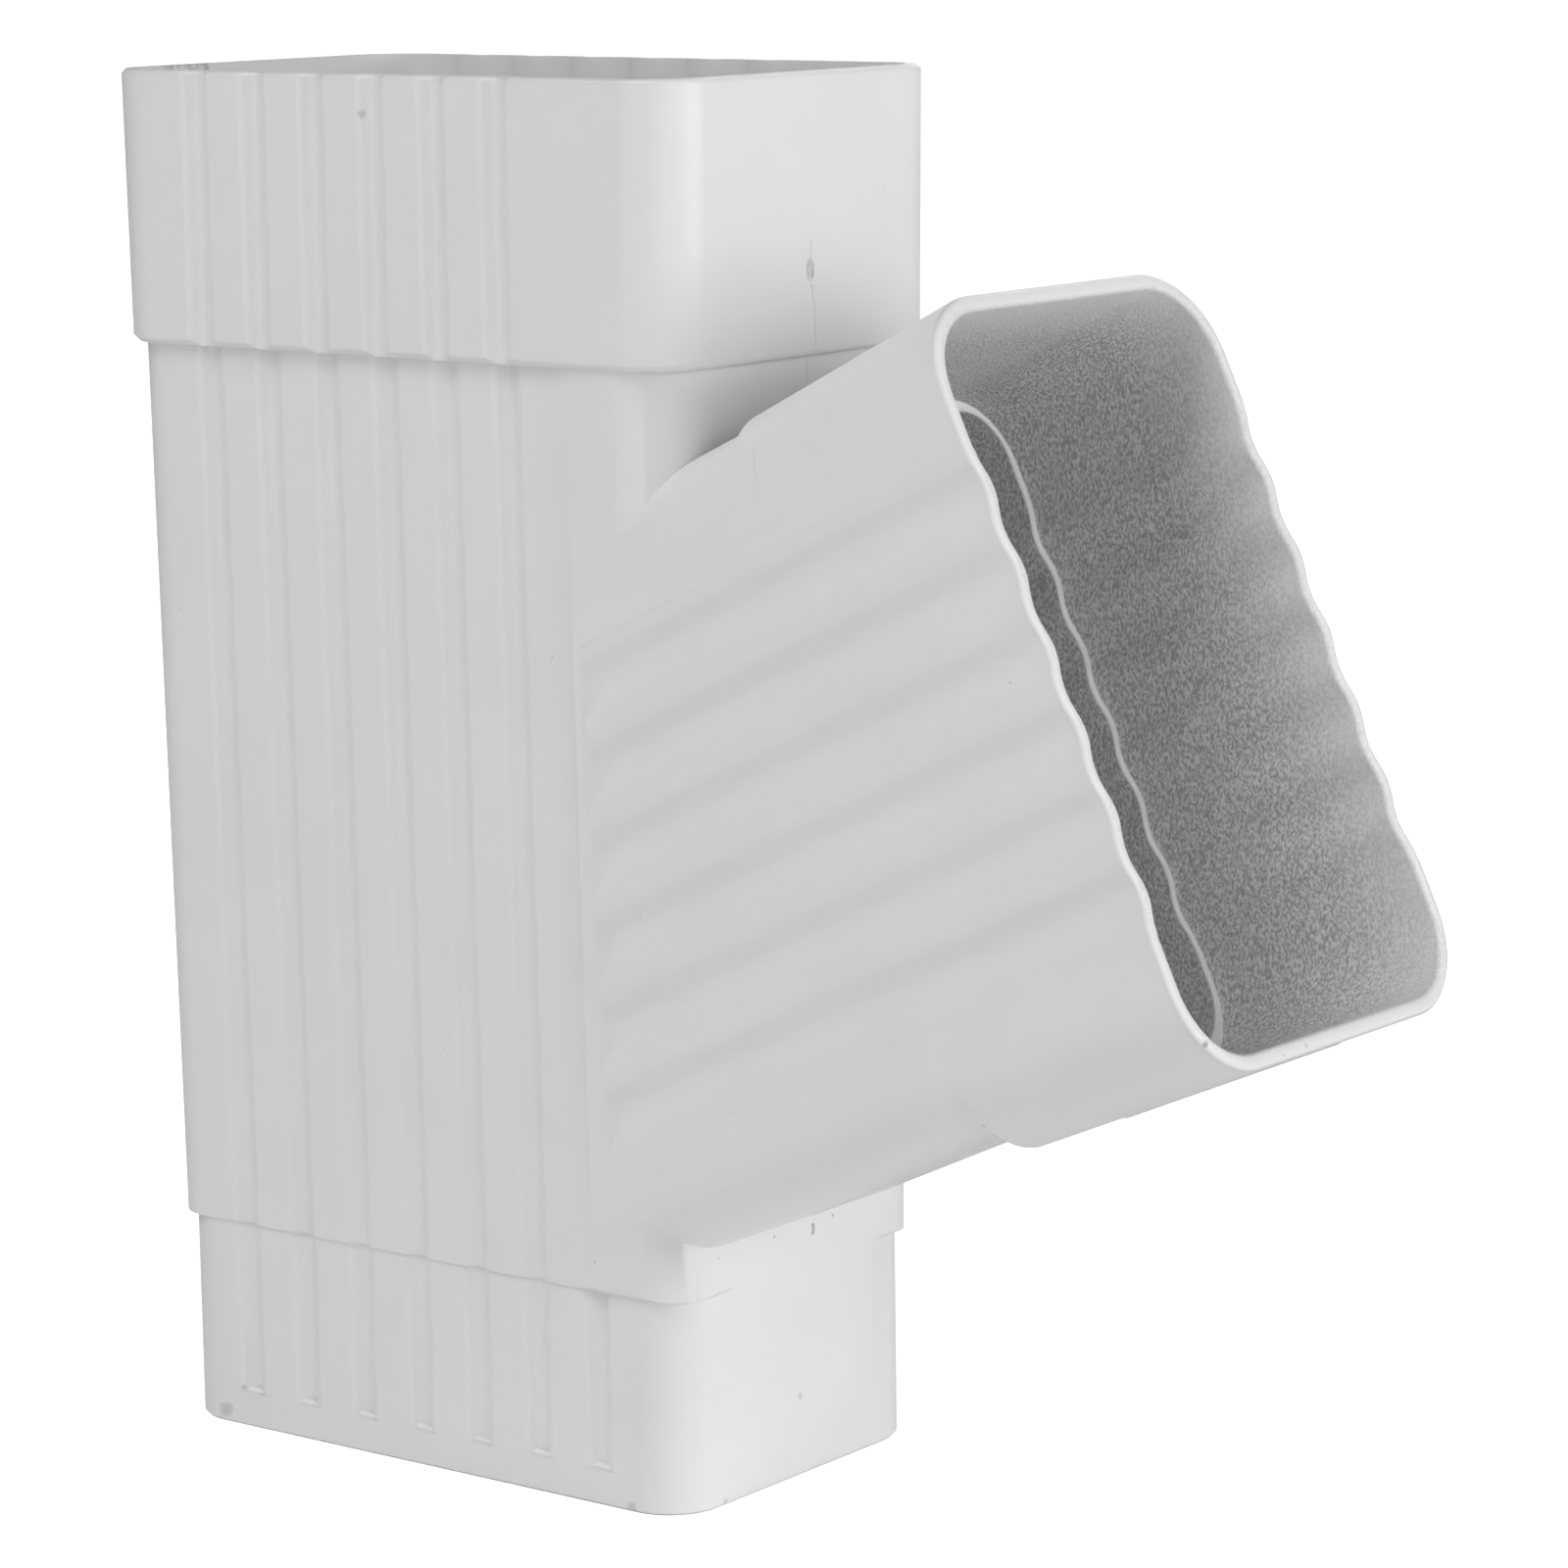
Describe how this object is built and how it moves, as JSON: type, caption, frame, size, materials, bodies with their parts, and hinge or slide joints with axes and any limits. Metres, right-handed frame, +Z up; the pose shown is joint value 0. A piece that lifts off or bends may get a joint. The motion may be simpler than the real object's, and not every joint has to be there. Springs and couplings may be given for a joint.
{
  "type": "downspout y connector",
  "caption": "Y connector for rectangular rainwater pipe: an upright trunk with a socket on top and a spigot below, and a rising side branch that ends in a socket.",
  "frame": {"origin": "middle of the spigot's open foot, on the trunk's centre line", "axes": "+Z up the trunk towards its top socket, +X along the trunk's broad side towards the branch, Y through the trunk's depth"},
  "size_m": [0.159, 0.0554, 0.1665],
  "materials": {
    "white_pvc": "white rigid PVC as moulded, satin outside, finely spark-textured inside"
  },
  "bodies": {
    "root": {"y_connector": "white_pvc"}
  },
  "joints": []
}
